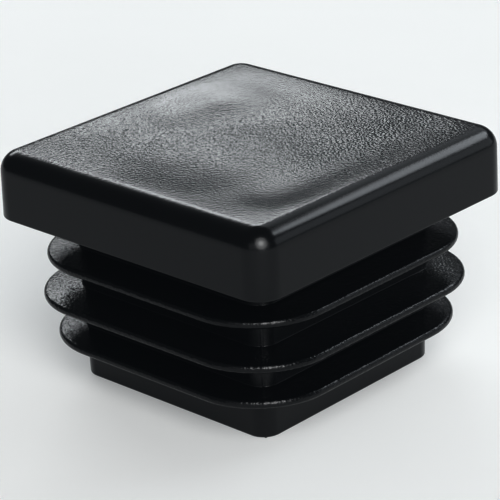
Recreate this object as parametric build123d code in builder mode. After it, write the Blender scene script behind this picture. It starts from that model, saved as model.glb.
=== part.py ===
from build123d import *
from math import atan2, degrees, radians, tan
import os

# Square ribbed end cap for the open end of a square tube, moulded in one piece.
# Millimetres, +Z up. The origin is the centre of the skirt's open rim, which the cap stands on.

# ---- the tube it closes ----
tube_side = 25.0            # outside of the tube, which the head covers flush
thinnest_wall = 1.0         # lightest tube wall that the ribs still grip
thickest_wall = 3.0         # heaviest tube wall that the skirt still enters

# ---- head: the plate that stays outside the tube ----
head_height = 4.7
head_corner_radius = 1.8    # upright corners
head_edge_radius = 1.45     # rounding round the outer face
head_draft = 0.8            # degrees, the sides lean in towards the outer face
roof_thickness = 2.6        # what is left of the head above the hollow

# ---- skirt: the hollow square stem that goes inside ----
insert_depth = 12.1
skirt_wall = 1.4            # at the open rim
skirt_corner_radius = 1.35
skirt_draft = 0.95          # degrees, the outside narrows towards the rim
neck_bevel = 0.3            # where the skirt meets the head
rim_bevel = 0.15            # outer edge of the open rim
core_draft = 0.4            # degrees, the hollow narrows towards its roof
core_corner_radius = 0.8
core_roof_radius = 0.6

# ---- ribs: thin lamellae that fold against the inside of the tube ----
rib_grip = 0.45             # how far the widest rib bites past the widest bore, each side
rib_setbacks = (0.3, 0.0, 0.6)   # each side, from the head down: first, widest and leading rib
rib_corner_radius = 5.6
rib_rim = 0.6               # thickness at the free edge
rib_flare = 0.12            # added on each face by the time the rib reaches the skirt
rib_bevel = 0.14            # breaks both corners of the free edge
first_rib_drop = 2.85       # head's underside to the middle of the first rib
pilot_length = 3.35         # middle of the leading rib to the open rim

# ---- sizes that follow ----
widest_bore = tube_side - 2 * thinnest_wall
narrowest_bore = tube_side - 2 * thickest_wall
widest_rib_side = widest_bore + 2 * rib_grip
skirt_side = narrowest_bore - 2 * rib_rim       # at the head, with room for a folded rib each side
skirt_rim_side = skirt_side - 2 * insert_depth * tan(radians(skirt_draft))
core_side = skirt_rim_side - 2 * skirt_wall
seat_z = insert_depth                           # the head's underside, which the tube's end meets
outer_face_z = seat_z + head_height
core_roof_z = outer_face_z - roof_thickness
rib_pitch = (insert_depth - first_rib_drop - pilot_length) / (len(rib_setbacks) - 1)
head_edge = min(head_edge_radius, 0.85 * head_corner_radius)
rib_edge = min(rib_bevel, 0.4 * rib_rim)
tolerance = 0.001


def edges_at(height):
    """Edges of the cap that lie level at this height."""
    return end_cap.edges().filter_by_position(Axis.Z, height - tolerance, height + tolerance)


with BuildPart() as end_cap:
    # Head plate. Its outline is widest at the seat, and the sides draft in from there.
    with BuildSketch(Plane.XY.offset(seat_z)):
        RectangleRounded(tube_side, tube_side, head_corner_radius)
    extrude(amount=head_height, taper=head_draft)
    fillet(edges_at(outer_face_z), radius=head_edge)

    # Skirt, hanging from the head and narrowing towards its open rim.
    with BuildSketch(Plane.XY.offset(seat_z)):
        RectangleRounded(skirt_side, skirt_side, skirt_corner_radius)
    extrude(amount=-insert_depth, taper=skirt_draft)
    neck_outline = edges_at(seat_z).sort_by_distance((0, 0, seat_z))[:8]
    chamfer(neck_outline, length=neck_bevel)
    chamfer(edges_at(0), length=rim_bevel)

    # Ribs. Each is an even rim with bevelled corners, and both faces thicken towards the skirt.
    for index, setback in enumerate(rib_setbacks):
        rib_z = seat_z - first_rib_drop - index * rib_pitch
        rib_side = widest_rib_side - 2 * setback
        rib_reach = (rib_side - skirt_side) / 2
        with BuildSketch(Plane.XY.offset(rib_z - rib_rim / 2)):
            RectangleRounded(rib_side, rib_side, rib_corner_radius)
        extrude(amount=rib_rim)
        for face in (1, -1):
            rim_face_z = rib_z + face * rib_rim / 2
            with BuildSketch(Plane.XY.offset(rim_face_z)):
                RectangleRounded(rib_side, rib_side, rib_corner_radius)
            extrude(amount=face * rib_flare, taper=degrees(atan2(rib_reach, rib_flare)))
            chamfer(edges_at(rim_face_z), length=rib_edge)

    # Hollow, drawn at the open rim and running up into the head.
    with BuildSketch(Plane.XY):
        RectangleRounded(core_side, core_side, core_corner_radius)
    extrude(amount=core_roof_z, taper=core_draft, mode=Mode.SUBTRACT)
    fillet(edges_at(core_roof_z), radius=core_roof_radius)

end_cap.part.label = "end_cap"

os.makedirs("parts", exist_ok=True)
export_step(end_cap.part, "parts/end_cap.step")
print("end cap volume, mm3:", round(end_cap.part.volume, 1))
print("rib sides, mm:", [round(widest_rib_side - 2 * setback, 2) for setback in rib_setbacks])
print("skirt at the head and rim, mm:", round(skirt_side, 2), round(skirt_rim_side, 2))
print("hollow at the rim, mm:", round(core_side, 2), "rib pitch, mm:", round(rib_pitch, 3))
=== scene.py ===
# %% [markdown]
# # A ribbed end cap for a square steel tube
#
# This lesson dresses one small moulding: the black plastic cap that is pushed into the open end of a
# square tube, such as a table leg. It is a single piece of low-density polyethylene. The flat head
# stays outside, the hollow skirt goes in, and three thin ribs round the skirt fold against the inside
# of the tube and grip it.
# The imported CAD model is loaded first, as a fixed frame that says where everything is. Its box is
# kept, because the finished looks have to stay inside it.

from math import acos, cos, degrees, pi, radians, sin, sqrt, tan

import bmesh
import bpy
from mathutils import Matrix, Vector


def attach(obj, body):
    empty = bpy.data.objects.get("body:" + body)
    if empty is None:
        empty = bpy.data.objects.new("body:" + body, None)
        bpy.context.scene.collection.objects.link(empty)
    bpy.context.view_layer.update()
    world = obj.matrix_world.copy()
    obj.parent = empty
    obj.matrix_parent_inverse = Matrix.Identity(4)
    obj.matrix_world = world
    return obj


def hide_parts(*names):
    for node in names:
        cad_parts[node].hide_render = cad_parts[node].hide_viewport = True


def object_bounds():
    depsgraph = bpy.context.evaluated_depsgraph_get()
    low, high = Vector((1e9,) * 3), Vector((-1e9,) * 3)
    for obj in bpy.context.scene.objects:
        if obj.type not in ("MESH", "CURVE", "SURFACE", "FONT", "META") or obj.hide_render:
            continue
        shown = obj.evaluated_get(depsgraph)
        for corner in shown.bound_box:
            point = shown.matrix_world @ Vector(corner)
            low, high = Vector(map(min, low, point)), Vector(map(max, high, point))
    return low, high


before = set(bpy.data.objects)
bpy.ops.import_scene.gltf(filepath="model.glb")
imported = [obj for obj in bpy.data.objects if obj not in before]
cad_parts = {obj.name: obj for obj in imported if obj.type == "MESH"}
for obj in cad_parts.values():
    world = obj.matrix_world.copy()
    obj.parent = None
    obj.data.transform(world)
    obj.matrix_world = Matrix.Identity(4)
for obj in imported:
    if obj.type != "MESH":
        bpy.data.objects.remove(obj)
cad_low, cad_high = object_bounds()
print("CAD box in millimetres:", [round(1000 * side, 2) for side in cad_high - cad_low])

# %% [markdown]
# ## Camera, floor and light
#
# The cap stands on a plain pale table, on the open rim of its skirt. The camera comes before the
# shapes, so that each later step can be looked at from the right place. The cap is seen through a long
# lens from seven times its own width away, so its lines stay almost parallel. The camera's place is
# worked out from the angle round the cap, the angle above the table and the distance, which are easier
# to think about than three coordinates. The lamps will be placed by the same two angles, so the step
# from angles to a direction is a helper. Lengths here are in metres, as Blender counts them.

# %% Camera
camera_distance = 0.17684
camera_roll = radians(-2.514)
focal_length = 184.59       # millimetres, on a sensor 36 mm wide
aim_height = 0.008545       # the point aimed at is just over half way up the cap
aim_shift = -0.000225       # and a little to the left of its axis


def direction(azimuth, elevation):
    """The unit vector at an angle round the cap and an angle above the table, both in degrees."""
    turn, rise = radians(azimuth), radians(elevation)
    return Vector((cos(rise) * cos(turn), cos(rise) * sin(turn), sin(rise)))


towards_camera = direction(-136.30, 23.006)
level_right = Vector((0, 0, 1)).cross(towards_camera).normalized()
right = cos(camera_roll) * level_right + sin(camera_roll) * towards_camera.cross(level_right)
up = towards_camera.cross(right)
aim = Vector((0, 0, aim_height)) + aim_shift * level_right

lens = bpy.data.cameras.new("long_lens")
lens.lens = focal_length
lens.sensor_width = 36
lens.clip_start = 0.01
camera = bpy.data.objects.new("camera", lens)
bpy.context.scene.collection.objects.link(camera)
looking = Matrix((right, up, towards_camera)).transposed().to_4x4()
camera.matrix_world = Matrix.Translation(aim + camera_distance * towards_camera) @ looking
bpy.context.scene.camera = camera
print("camera at", [round(1000 * value, 2) for value in camera.matrix_world.translation], "mm")

# %% [markdown]
# Every surface gets its look from a small tree of shader nodes. Three helpers serve every material
# here. One adds a node, sets it up and links it. One turns an sRGB hex code, as a paint program shows
# it, into the linear colour that shaders work in. One starts a material with an empty tree.

# %% Helpers for materials
def add_node(tree, kind, sockets=None, **settings):
    """Adds one node, sets it up, and links each socket that is given another node's output."""
    node = tree.nodes.new(kind)
    for name, value in settings.items():
        setattr(node, name, value)
    for name, value in (sockets or {}).items():
        if isinstance(value, bpy.types.NodeSocket):
            tree.links.new(value, node.inputs[name])
        else:
            node.inputs[name].default_value = value
    return node


def hex_colour(code):
    """The linear colour of an sRGB hex code."""
    parts = [int(code[start : start + 2], 16) / 255 for start in (1, 3, 5)]
    linear = [part / 12.92 if part <= 0.04045 else ((part + 0.055) / 1.055) ** 2.4 for part in parts]
    return (*linear, 1.0)


def new_material(name):
    """A material whose node tree is still empty, and the tree."""
    material = bpy.data.materials.new(name)
    material.use_nodes = True
    material.node_tree.nodes.clear()
    return material, material.node_tree


print("a middle grey, #808080, is", round(hex_colour("#808080")[0], 3), "in linear light")

# %% [markdown]
# The floor is a light table: one large sheet of matt opal acrylic, lit from below as well as above, so
# no edge or horizon shows and the shadow stays soft. It can't simply be as bright as possible, because
# the upright faces of the cap mirror it and would turn grey with it. Even here the colour isn't quite
# flat: a faint mottle, about three centimetres wide, keeps it from looking computed.

# %% Floor
floor_size = 3.0            # metres
mottles_per_metre = 30.0

bpy.ops.object.select_all(action="DESELECT")
bpy.ops.mesh.primitive_plane_add(size=floor_size)
floor = bpy.context.object
floor.name = "pale_floor"
opal, tree = new_material("matt_opal_acrylic")
place = add_node(tree, "ShaderNodeTexCoord")
mottle = add_node(
    tree,
    "ShaderNodeTexNoise",
    {"Vector": place.outputs["Object"], "Scale": mottles_per_metre, "Detail": 3.0},
)
shade = add_node(tree, "ShaderNodeValToRGB", {"Fac": mottle.outputs["Fac"]})
shade.color_ramp.elements[0].color = hex_colour("#bcbcbb")
shade.color_ramp.elements[1].color = hex_colour("#c2c2c1")
acrylic = add_node(
    tree,
    "ShaderNodeBsdfPrincipled",
    {
        "Base Color": shade.outputs["Color"],
        "Roughness": 0.7,
        "Emission Color": hex_colour("#fcfeff"),
        "Emission Strength": 0.31,
    },
)
add_node(tree, "ShaderNodeOutputMaterial", {"Surface": acrylic.outputs["BSDF"]})
floor.data.materials.append(opal)
print("floor", [round(side, 2) for side in floor.dimensions], "m")

# %% [markdown]
# Black plastic is seen almost entirely by what it mirrors, so each lamp is placed by a mirror angle.
# The flat outer face mirrors whatever stands low behind the cap. The back softbox is a low, wide strip,
# and the face sees it near its lower and right-hand edges, so every slight slope of the face slides
# off the strip and shows as shade. The softbox at the right draws the bright line along the right-hand
# rounding, and the fill panel and the right card carry that line on towards the face and the side. The
# oval lamp above and beside the camera, with a dimmer diffuser round it, gives the soft round glint on
# the nearest corner, and the front card lights the rims of the ribs. There is no lamp overhead: it
# would only whiten the tops of the ribs.
# What a mirror shows is how bright a lamp's surface is, but Blender asks for its power, which has to
# grow with its area. So the helper takes the brightness and the size, and works out the power.

# %% Lamps
def softbox(
    name, azimuth, elevation, distance, width, height, brightness, tint="#ffffff", shape="RECTANGLE"
):
    """A flat lamp that faces the cap, with a surface that is equally bright at any width and height."""
    lamp = bpy.data.lights.new(name, "AREA")
    lamp.shape = shape
    lamp.size = width
    lamp.size_y = height
    lamp.energy = brightness * pi * width * height
    lamp.color = hex_colour(tint)[:3]
    outwards = direction(azimuth, elevation)
    holder = bpy.data.objects.new(name, lamp)
    holder.location = Vector((0, 0, cad_high.z)) + distance * outwards
    holder.rotation_euler = outwards.to_track_quat("Z", "Y").to_euler()
    bpy.context.scene.collection.objects.link(holder)


# Name, azimuth and elevation in degrees, distance, width and height in metres, brightness, tint.
softbox("back_softbox", 60.3, 28.0, 0.6, 0.40, 0.15, 6.0, "#fafdff")
softbox("right_softbox", -19, 38, 0.6, 0.32, 0.16, 6.3, "#f6fbff")
softbox("fill_panel", 18, 37, 0.6, 0.34, 0.25, 1.25, "#f6fbff")
softbox("right_card", -42, 15, 0.6, 0.4, 0.25, 1.4, "#f6fbff")
softbox("front_lamp", -126, 34, 0.6, 0.22, 0.28, 4.5, shape="ELLIPSE")
softbox("front_diffuser", -125, 33, 0.6, 0.52, 0.70, 3.2, shape="ELLIPSE")
softbox("front_card", -136, 20, 0.5, 0.9, 0.3, 0.8)
print("lamps:", [lamp.name for lamp in bpy.data.lights])

# %% [markdown]
# The walls of the room send back a little light from everywhere. It is dim and slightly cool, and it
# fills the shadows of the floor.

# %% Room
room = bpy.data.worlds.new("studio_room")
room.use_nodes = True
walls = room.node_tree.nodes["Background"]
walls.inputs["Color"].default_value = hex_colour("#f2f6f8")
walls.inputs["Strength"].default_value = 0.20
bpy.context.scene.world = room
print("room light", round(walls.inputs["Strength"].default_value, 2))

# %% [markdown]
# A camera that shows black plastic on white is set so that the blacks stay black: its tone curve is
# steeper than the eye's. The Standard view with a gamma below one does the same. The white table sends
# a little stray light through the lens as well. That veil lifts the deepest gaps between the ribs from
# nothing to a faint blue-black, and a black level just below zero adds it.

# %% Tone curve
view = bpy.context.scene.view_settings
view.view_transform = "Standard"
view.gamma = 0.60
view.use_curve_mapping = True
view.curve_mapping.black_level = (-0.010, -0.0125, -0.0155)
view.curve_mapping.update()
print("gamma", round(view.gamma, 2), "veil", [round(-level, 4) for level in view.curve_mapping.black_level])

# %% [markdown]
# ## The moulding
#
# Every level section of this cap is a square with rounded corners: the head, the skirt, each rib and
# the hollow. So its whole skin can be built as a stack of such outlines, each joined to the one before
# it with Bridge Edge Loops, as a boat is planked over its frames. Walking the outlines down the
# outside, in under the rim and up the hollow gives one closed skin with no walls inside the plastic.
# It is modelled in millimetres, as on the drawing, because Blender's tools lose details that are far
# below a thousandth of a unit. A later step turns it to metres.
# The sizes are those of the CAD model. Where that has a bevel or a sharp edge, at the neck, the ribs,
# the open rim and the head's underside, the skin has a small rounding, because light finds every edge.
# A "half" is half the width of a square, from the axis to a side.

# %% Sizes in millimetres
outer_face = round(1000 * cad_high.z, 3)    # the top of the CAD box
head_half = round(1000 * cad_high.x, 3)     # at the seat, where the head is widest
seat = 12.1                 # the head's underside, which meets the end of the tube
head_corner = 1.8
head_draft = radians(0.8)
head_edge = 1.45            # rounding round the outer face
under_edge = 0.12           # rounding round the underside

skirt_half = 8.9            # at the seat
skirt_corner = 1.35
skirt_draft = radians(0.95)
neck_round = 0.3            # where the skirt meets the head
rim_round = 0.15            # outer edge of the open rim
mouth_round = 0.1           # inner edge of the open rim

ribs = ((9.25, 11.65), (6.30, 11.95), (3.35, 11.35))    # middle level and half, from the head down
rib_corner = 5.6
rib_rim = 0.6               # thickness at the free edge
rib_flare = 0.12            # added on each face at the root
rib_round = 0.28            # rounding of the free edge, nearly half its thickness
root_round = 0.06           # where a rib meets the skirt

hollow_half = 7.3           # at the open rim
hollow_corner = 0.8
hollow_draft = radians(0.4)
hollow_roof = 14.2
roof_round = 0.6

corner_steps = 16           # faces round each corner
outline_points = 4 * (corner_steps + 1)
side_cuts = 20              # cuts along each straight side
print("ribs stand out to", [2 * half for level, half in ribs], "mm across")

# %% [markdown]
# One helper lays one outline. Four points make a square, and Bevel rounds them. The outline before it
# is kept in a vertex group, so it can be selected again and bridged to the new one. The tool pairs
# points by how near they are, and two outlines of different size on one level can come out twisted.
# Each new outline is therefore made 20 mm lower, bridged there, where the pairs are plain, and then
# lifted to its place.
# A second helper lays several outlines round a quarter turn, which is how every rounded edge is made.

# %% One outline, and a run of them round an edge
work_drop = 20


def lay_outline(half, corner, height):
    """A square of edges with rounded corners, bridged to the outline that was laid before it."""
    bpy.ops.mesh.primitive_circle_add(
        vertices=4,
        radius=half * sqrt(2),
        rotation=(0, 0, pi / 4),
        location=(0, 0, height - work_drop),
    )
    bpy.ops.mesh.bevel(offset=corner, segments=corner_steps, affect="VERTICES")
    bpy.ops.object.vertex_group_select()
    if len(bmesh.from_edit_mesh(skin.data).verts) > outline_points:
        bpy.ops.mesh.bridge_edge_loops()
        bpy.ops.object.vertex_group_deselect()
    bpy.ops.transform.translate(value=(0, 0, work_drop))
    bpy.ops.object.vertex_group_remove_from(use_all_verts=True)
    bpy.ops.object.vertex_group_assign()


def lay_arc(half, height, radius, start, end, corner_centre, steps):
    """Outlines along an arc about (half, height), from one angle to another, with concentric corners."""
    for step in range(steps + 1):
        angle = radians(start + (end - start) * step / steps)
        outline_half = half + radius * cos(angle)
        lay_outline(outline_half, outline_half - corner_centre, height + radius * sin(angle))


print("each outline has", outline_points, "points")

# %% [markdown]
# The walk starts in the middle of the outer face. Outlines every 0.42 mm cover it, so the face has
# points to move when it gets its sinks. Near the middle the corners are far rounder than at the border:
# a corner gains half a millimetre for each millimetre inwards, as long as it leaves a bit of straight
# side. Then come the rounded edge, the drafted side, a small rounding underneath, and the underside.

# %% Head
face_step = 0.42
face_outlines = 26
face_half = face_outlines * face_step   # the last outline before the rounded edge
side_level = 1.6            # an outline on the side, this far above the seat
under_half = 10.8           # an outline half way along the underside
under_corner = 1.6


def growing_corner(half, border_half, border_corner, share):
    """A corner that grows inwards from a border outline, up to a share of the outline's half."""
    return min(border_corner + 0.5 * (border_half - half), share * half)


bpy.ops.object.select_all(action="DESELECT")
bpy.ops.object.add(type="MESH")
skin = bpy.context.object
skin.name = "cap_moulding"
bpy.ops.object.mode_set(mode="EDIT")
bpy.ops.object.vertex_group_add()
for number in range(1, face_outlines + 1):
    half = face_step * number
    lay_outline(half, growing_corner(half, face_half, border_corner=0.32, share=0.8), outer_face)
centre = head_half - head_corner
edge_half = head_half - (outer_face - head_edge - seat) * tan(head_draft) - head_edge
lay_arc(edge_half, outer_face - head_edge, head_edge, 90, 0, centre, steps=12)
side_half = head_half - side_level * tan(head_draft)
lay_outline(side_half, side_half - centre, seat + side_level)
lay_arc(head_half - under_edge, seat + under_edge, under_edge, 0, -90, centre, steps=4)
lay_outline(under_half, under_corner, seat)
print("head:", len(bmesh.from_edit_mesh(skin.data).faces), "faces")

# %% [markdown]
# The skirt leans in by about one degree towards its rim, so that it finds its way into the tube. Each
# rib is a thin lamella: it leaves the skirt almost sharply, thins slightly on the way out, and ends in
# a rim that is round in section and so always holds a thread of light. Its corners are far rounder than
# the skirt's, because a sharp corner couldn't fold inside the tube. Three short helpers give the
# skirt's width at a level, the outlines between two others, and one face of a rib.

# %% Helpers for the skirt and the ribs
root_rise = rib_rim / 2 + rib_flare     # from a rib's middle to where its face meets the skirt


def skirt_at(height):
    """Half the skirt's width at a height."""
    return skirt_half - (seat - height) * tan(skirt_draft)


def lay_between(start, end):
    """Three outlines, evenly spaced on the straight way between two (half, corner, height) outlines."""
    for share in (0.25, 0.5, 0.75):
        lay_outline(*(one + (other - one) * share for one, other in zip(start, end)))


def lay_rib_face(level, rib_half, side):
    """One face of a rib: the upper one from root to rim for side 1, the lower one back for side -1."""
    wall = skirt_at(level + side * root_rise)
    root_centre = (wall + root_round, level + side * (root_rise + root_round))
    rim_centre = (rib_half - rib_round, level + side * (rib_rim / 2 - rib_round))
    inner = (wall + root_round, skirt_corner + root_round, level + side * root_rise)
    outer = (rib_half - rib_round, rib_corner - rib_round, level + side * rib_rim / 2)
    if side == 1:
        lay_arc(*root_centre, root_round, 180, 270, wall - skirt_corner, steps=3)
        lay_between(inner, outer)
        lay_arc(*rim_centre, rib_round, 90, 0, rib_half - rib_corner, steps=6)
    else:
        lay_arc(*rim_centre, rib_round, 0, -90, rib_half - rib_corner, steps=6)
        lay_between(outer, inner)
        lay_arc(*root_centre, root_round, 90, 180, wall - skirt_corner, steps=3)


print("a rib is", round(2 * root_rise, 2), "mm thick at its root")

# %% [markdown]
# One loop models all three ribs, since only their level and reach differ. It walks out along the upper
# face, round the rim and back along the lower face, so that the skin runs on down the skirt.

# %% Skirt and ribs
centre = skirt_half - skirt_corner
lay_arc(skirt_half + neck_round, seat - neck_round, neck_round, 90, 180, centre, steps=4)
for level, rib_half in ribs:
    lay_rib_face(level, rib_half, 1)
    lay_rib_face(level, rib_half, -1)
print("with the ribs:", len(bmesh.from_edit_mesh(skin.data).faces), "faces")

# %% [markdown]
# The rest of the walk is out of sight when the cap is fitted: round the open rim, up the drafted walls
# of the hollow, and over its roof to the middle. There the plastic entered the mould. The gate leaves a
# shallow round well with a small pip in it, hidden inside the hollow so that the outer face stays clean.

# %% Rim, hollow and gate
rim_middle_half = 7.9       # an outline along the middle of the open rim
rim_middle_corner = 1.0
wall_levels = (3.5, 7, 10.5)
roof_border = 6.6           # where the roof starts to be flat
roof_halves = (5.6, 4.6, 3.6, 2.6, 1.9)
gate_share = 0.85           # near the gate an outline is nearly a circle: its corner takes this much of it
gate_outlines = (           # half and height, over the lip of the well and down round the pip
    (1.55, 14.2),
    (1.5, 14.22),
    (1.42, 14.4),
    (0.7, 14.4),
    (0.62, 14.36),
    (0.55, 14.02),
    (0.45, 13.96),
)

rim_half = skirt_at(rim_round)
lay_arc(rim_half - rim_round, rim_round, rim_round, 0, -90, rim_half - skirt_corner, steps=3)
lay_outline(rim_middle_half, rim_middle_corner, 0)
centre = hollow_half - hollow_corner
lay_arc(hollow_half + mouth_round, mouth_round, mouth_round, -90, -180, centre, steps=3)
for height in wall_levels:
    lay_outline(hollow_half - height * tan(hollow_draft), hollow_corner, height)
roof_half = hollow_half - (hollow_roof - roof_round) * tan(hollow_draft)
centre = roof_half - hollow_corner
lay_arc(roof_half - roof_round, hollow_roof - roof_round, roof_round, 0, 90, centre, steps=6)
for half in roof_halves:
    lay_outline(half, growing_corner(half, roof_border, border_corner=0.3, share=gate_share), hollow_roof)
for half, height in gate_outlines:
    lay_outline(half, gate_share * half, height)
print("whole skin:", len(bmesh.from_edit_mesh(skin.data).faces), "faces")

# %% [markdown]
# The walk has left two jobs, and both need points or edges to be picked by their place. By hand they
# would be clicked or boxed. Here a helper selects what passes a test, and two tests are named.

# %% Pick by place
hair = 1e-3                 # millimetres: places nearer than this are the same


def pick(kind, test):
    """Selects only those points, edges or faces whose place passes the test, and counts them."""
    bpy.ops.mesh.select_mode(type=kind)
    bpy.ops.mesh.select_all(action="DESELECT")
    mesh = bmesh.from_edit_mesh(bpy.context.object.data)
    parts = {"VERT": mesh.verts, "EDGE": mesh.edges, "FACE": mesh.faces}[kind]
    chosen = [part for part in parts if test(part)]
    for part in chosen:
        part.select_set(True)
    mesh.select_flush_mode()
    bmesh.update_edit_mesh(bpy.context.object.data)
    return len(chosen)


def how_far_out(point):
    """Half the width of the square that a point lies on."""
    return max(abs(point.x), abs(point.y))


def along_a_side(edge):
    """True for a level edge that runs the whole length of a straight side."""
    one, other = (vertex.co for vertex in edge.verts)
    run = other - one
    straight = min(abs(run.x), abs(run.y)) < hair and abs(run.z) < hair
    return straight and (abs(one.x + other.x) < hair or abs(one.y + other.y) < hair)


long_edges = pick("EDGE", along_a_side)
print("long edges:", long_edges)

# %% [markdown]
# The straight sides are still single long faces. Subdivide cuts the edges that were just picked, which
# gives the later steps points to move. The first and last outlines are still open. Each opening is
# closed the usual way: its edge is extruded once more, and the new points are merged into one at the
# middle. Then all faces are turned outwards.

# %% Cut the sides and close the ends
def in_opening(point, half, height):
    """True for a point on the outline round an opening, or inside it."""
    return how_far_out(point) < half + hair and abs(point.z - height) < hair


bpy.ops.mesh.subdivide(number_cuts=side_cuts)
for half, height in ((face_step, outer_face), gate_outlines[-1]):
    pick("VERT", lambda vertex: in_opening(vertex.co, half, height))
    bpy.ops.mesh.extrude_edges_move()
    bpy.ops.mesh.merge(type="CENTER")
bpy.ops.mesh.select_all(action="SELECT")
bpy.ops.mesh.normals_make_consistent(inside=False)
print("closed skin:", len(bmesh.from_edit_mesh(skin.data).faces), "faces")

# %% [markdown]
# ### Sink marks
#
# Plastic shrinks as it cools, and what cools last is pulled in. The border of the head touches cold
# steel above, beside and below, so it sets first and stays up as a frame. The middle lies over the
# core that forms the hollow, which stays hot, and it ends as a shallow dish, up to 0.4 mm deep. The
# dish isn't even: it has soft hollows of its own where the plastic stayed hot longest. A finger hardly
# feels this, but a low light shows it at once. It is real relief and not paint, so the points of the
# outer face are moved, with proportional editing: the picked points go down by the whole amount, and
# their neighbours follow less and less. Each sink is a rectangle in plan, from left to right along X
# and from front to back along Y, with the width of its soft border.

# %% Sink the outer face
sink_zone = outer_face - 0.8    # only points above this level can be picked


def sink(depth, width, left, right, front, back):
    """Moves a rectangle of the outer face down, and softly takes along what lies within the width."""
    def inside(vertex):
        return vertex.co.z > sink_zone and left < vertex.co.x < right and front < vertex.co.y < back

    pick("VERT", inside)
    bpy.ops.transform.translate(
        value=(0, 0, -depth),
        use_proportional_edit=True,
        proportional_edit_falloff="SMOOTH",
        proportional_size=width,
    )


# The dish over the hollow, in two overlapping parts, and its shore along the front edge.
sink(0.09, 4.0, -4.5, 7.5, -8.0, 7.5)
sink(0.09, 4.5, -7.5, 4.5, -7.0, 1.5)
sink(0.06, 3.0, -6.5, 9.0, -8.5, -7.5)
# The pool in the middle, and its arm towards the left.
sink(0.10, 5.5, -5.5, 1.0, -5.0, 2.0)
sink(0.11, 6.0, -5.0, -4.0, -0.5, 4.0)
# A gutter along the left edge, a hollow at the back, and a faint one in the left back corner.
sink(0.05, 4.0, -9.5, -8.5, -8.5, 5.5)
sink(0.14, 4.0, 0.5, 4.0, 6.5, 7.5)
sink(0.04, 2.5, -7.0, -3.0, 4.5, 9.5)
dished = [
    vertex.co.z
    for vertex in bmesh.from_edit_mesh(skin.data).verts
    if vertex.co.z > sink_zone and how_far_out(vertex.co) < face_half
]
print("deepest sink", round(outer_face - min(dished), 3), "mm")

# %% [markdown]
# ### Parting line
#
# The ribs stand out on all four sides, so the mould can't slide off them: it opens in two halves that
# meet on opposite corners. Where they meet, a hair of plastic is squeezed out. The column of edges on
# each of the two corners is bevelled into a narrow strip, and the middle of the strip is pushed out
# along its normals: by a tenth of a millimetre on the skirt, and by less on the ribs, where the mould
# closes on a thinner edge and leaves only a faint line.

# %% Raise the parting line
strip_half = 0.12
skirt_flash = 0.10
rib_flash = 0.03
flash_top = seat - 0.02     # the line ends just under the seat, where the tube's end has to lie flat
flash_foot = 0.05           # and this far above the rim that the cap stands on
hollow_reach = 7.4          # beyond this a point isn't in the hollow
skirt_reach = 8.6           # beyond this it is on a rib, or at the very neck


def on_the_parting(point):
    """True on the two corners where the mould halves met, below the head and outside the hollow."""
    return abs(point.x - point.y) < hair and abs(point.x) > hollow_reach and point.z < flash_top


def on_the_skirt(point):
    """True for a point of the parting line between the ribs, clear of the foot."""
    return on_the_parting(point) and point.z > flash_foot and how_far_out(point) < skirt_reach


edges = pick("EDGE", lambda edge: all(on_the_parting(vertex.co) for vertex in edge.verts))
bpy.ops.mesh.bevel(offset=strip_half, segments=2, affect="EDGES")
skirt_points = pick("VERT", lambda vertex: on_the_skirt(vertex.co))
bpy.ops.transform.shrink_fatten(value=skirt_flash)
rib_points = pick("VERT", lambda vertex: on_the_parting(vertex.co) and how_far_out(vertex.co) > skirt_reach)
bpy.ops.transform.shrink_fatten(value=rib_flash)
print("parting line:", edges, "edges,", skirt_points, "points on the skirt and", rib_points, "on the ribs")

# %% [markdown]
# Where such a strip runs out, at the neck and under the open rim, Bevel leaves pairs of points in one
# place. Merge by Distance makes each pair one, so that no face is left without an area.

# %% Merge doubled points
points = len(bmesh.from_edit_mesh(skin.data).verts)
bpy.ops.mesh.select_all(action="SELECT")
bpy.ops.mesh.remove_doubles(threshold=hair)
print("doubled points merged:", points - len(bmesh.from_edit_mesh(skin.data).verts))

# %% [markdown]
# ### Finish the mesh
#
# The skin is scaled to metres about the origin and its marker group is removed. All faces are shaded
# smooth, since almost every edge has a real rounding. The Weighted Normal modifier then lets the large
# flat faces decide the normals at their borders, so the flats stay flat and only the roundings bend
# light.

# %% Scale, shade and hand over
bpy.ops.mesh.select_all(action="SELECT")
bpy.ops.transform.resize(value=(0.001, 0.001, 0.001), center_override=(0, 0, 0))
bpy.ops.object.mode_set(mode="OBJECT")
bpy.ops.object.vertex_group_remove(all=True)
bpy.ops.object.shade_smooth()
modifier = skin.modifiers.new("flats_decide", "WEIGHTED_NORMAL")
modifier.keep_sharp = True
bpy.ops.object.modifier_apply(modifier=modifier.name)
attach(skin, "root")
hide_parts("end_cap")
print("cap_moulding:", len(skin.data.vertices), "points,", len(skin.data.polygons), "faces")

# %% [markdown]
# ## The plastic
#
# Black low-density polyethylene, moulded in steel. LDPE is a waxy plastic with a refractive index of
# about 1.51, and carbon black makes it almost lightless inside, so all that shows is a soft, slightly
# cool gloss with a roughness of about 0.2. How the mould was finished decides where that gloss breaks
# up:
#
# * the outer face was roughened by spark erosion into a field of tiny rounded lumps, which sparkle
#   most in a band across the middle and soften towards the nearest and the farthest corner;
# * the roundings and sides of the head were polished, so they stay dark and smooth;
# * the narrow grooves that form the ribs can't be reached for polishing, so the ribs keep the spark
#   finish all over.
#
# The lumps are too fine to model, so they are a bump. A Mapping node turns metres to millimetres, and a
# noise of scale six then has lumps about a sixth of a millimetre wide. Real spark grain is finer still,
# near a twentieth, but would be smaller than a pixel here, so it is drawn coarser.

# %% Spark grain
lumps_per_mm = 6.0

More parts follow.
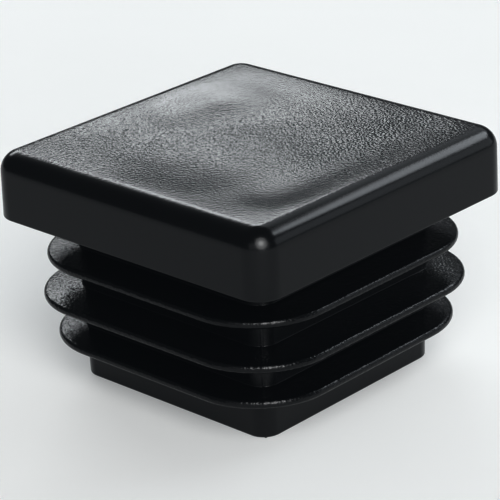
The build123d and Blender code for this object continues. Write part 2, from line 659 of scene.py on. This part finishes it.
ldpe, tree = new_material("black_ldpe_spark_grain")
place = add_node(tree, "ShaderNodeTexCoord")
millimetres = add_node(
    tree,
    "ShaderNodeMapping",
    {"Vector": place.outputs["Object"], "Scale": (1000, 1000, 1000)},
)
grain = add_node(
    tree,
    "ShaderNodeTexNoise",
    {"Vector": millimetres.outputs["Vector"], "Scale": lumps_per_mm, "Detail": 0.5},
)
print("lumps are", round(1 / lumps_per_mm, 2), "mm wide")

# %% [markdown]
# The bump is multiplied by how much grain is left. On the head two things decide that. Polish follows
# the tilt of the surface: up to five degrees from level the grain is whole, and by eighteen degrees an
# eighth of it is left. A surface's normal has an upward part that is the cosine of its tilt, so a Map
# Range node can read the tilt from it. The band follows the distance from a diagonal, the one that the
# camera sees running from the left corner to the right one. Along that diagonal x + y is zero.

# %% Polish and band
polished_tilt = 0.95        # cosine of 18 degrees
whole_tilt = 0.996          # cosine of 5 degrees

facing = add_node(tree, "ShaderNodeNewGeometry")
tilt = add_node(tree, "ShaderNodeSeparateXYZ", {"Vector": facing.outputs["Normal"]})
polish = add_node(
    tree,
    "ShaderNodeMapRange",
    {
        "Value": tilt.outputs["Z"],
        "From Min": polished_tilt,
        "From Max": whole_tilt,
        "To Min": 0.12,
        "To Max": 1.0,
    },
)
spot = add_node(tree, "ShaderNodeSeparateXYZ", {"Vector": millimetres.outputs["Vector"]})
forwards = add_node(tree, "ShaderNodeMath", {0: spot.outputs["X"], 1: spot.outputs["Y"]}, operation="ADD")
away = add_node(tree, "ShaderNodeMath", {0: forwards.outputs["Value"]}, operation="ABSOLUTE")
band = add_node(
    tree,
    "ShaderNodeMapRange",
    {"Value": away.outputs["Value"], "From Min": 3.0, "From Max": 14.0, "To Min": 1.0, "To Max": 0.33},
)
head_grain = add_node(
    tree,
    "ShaderNodeMath",
    {0: polish.outputs["Result"], 1: band.outputs["Result"]},
    operation="MULTIPLY",
)
fade = [round(degrees(acos(tilt_cosine))) for tilt_cosine in (whole_tilt, polished_tilt)]
print("grain fades between", fade, "degrees of tilt")

# %% [markdown]
# The ribs are found by place, as everything below the head that stands out more than 9.2 mm from the
# axis. The larger of |x| and |y| says how far out a point is. It is compared with a limit that jumps to
# 99 mm at the head, so no point of the head can pass. Where the test passes, the grain is a little
# stronger than on the outer face, whatever the tilt.

# %% Grain on the ribs
rib_limit = 9.2

folded = add_node(tree, "ShaderNodeVectorMath", {0: millimetres.outputs["Vector"]}, operation="ABSOLUTE")
offset = add_node(tree, "ShaderNodeSeparateXYZ", {"Vector": folded.outputs["Vector"]})
from_axis = add_node(
    tree,
    "ShaderNodeMath",
    {0: offset.outputs["X"], 1: offset.outputs["Y"]},
    operation="MAXIMUM",
)
limit = add_node(
    tree,
    "ShaderNodeMapRange",
    {"Value": offset.outputs["Z"], "From Min": 10.8, "From Max": 11.4, "To Min": rib_limit, "To Max": 99.0},
)
on_ribs = add_node(
    tree,
    "ShaderNodeMath",
    {0: from_axis.outputs["Value"], 1: limit.outputs["Result"]},
    operation="GREATER_THAN",
)
grain_left = add_node(
    tree,
    "ShaderNodeMapRange",
    {"Value": on_ribs.outputs["Value"], "To Min": head_grain.outputs["Value"], "To Max": 1.1},
)
print("grain all over beyond", rib_limit, "mm from the axis")

# %% [markdown]
# The noise times the grain that is left is a height, and a Bump node tilts the light by it. The lumps
# are about three hundredths of a millimetre high at most, a fifth of their width.

# %% Bump
lump_height = 0.000032      # metres

relief = add_node(
    tree,
    "ShaderNodeMath",
    {0: grain.outputs["Fac"], 1: grain_left.outputs["Result"]},
    operation="MULTIPLY",
)
bump = add_node(
    tree,
    "ShaderNodeBump",
    {"Height": relief.outputs["Value"], "Strength": 1.0, "Distance": lump_height},
)
print("lumps are up to", round(1000 * lump_height, 3), "mm high")

# %% [markdown]
# Last come the colour and the gloss. Where the plastic met the steel a little sooner or later, its skin
# is a little duller or shinier, in soft clouds nearly three millimetres wide. One noise drives both the
# roughness and a shift between two blacks that are hardly apart.

# %% Colour and gloss
clouds_per_mm = 0.35

cloud = add_node(
    tree,
    "ShaderNodeTexNoise",
    {"Vector": millimetres.outputs["Vector"], "Scale": clouds_per_mm, "Detail": 2.0},
)
gloss = add_node(
    tree,
    "ShaderNodeMapRange",
    {"Value": cloud.outputs["Fac"], "From Min": 0.3, "From Max": 0.7, "To Min": 0.20, "To Max": 0.23},
)
black = add_node(tree, "ShaderNodeValToRGB", {"Fac": cloud.outputs["Fac"]})
black.color_ramp.elements[0].color = hex_colour("#0b0c0d")
black.color_ramp.elements[1].color = hex_colour("#0f1011")
body = add_node(
    tree,
    "ShaderNodeBsdfPrincipled",
    {
        "Base Color": black.outputs["Color"],
        "Roughness": gloss.outputs["Result"],
        "Normal": bump.outputs["Normal"],
        "IOR": 1.51,
    },
)
add_node(tree, "ShaderNodeOutputMaterial", {"Surface": body.outputs["BSDF"]})
skin.data.materials.append(ldpe)
print(ldpe.name, "has", len(tree.nodes), "nodes")
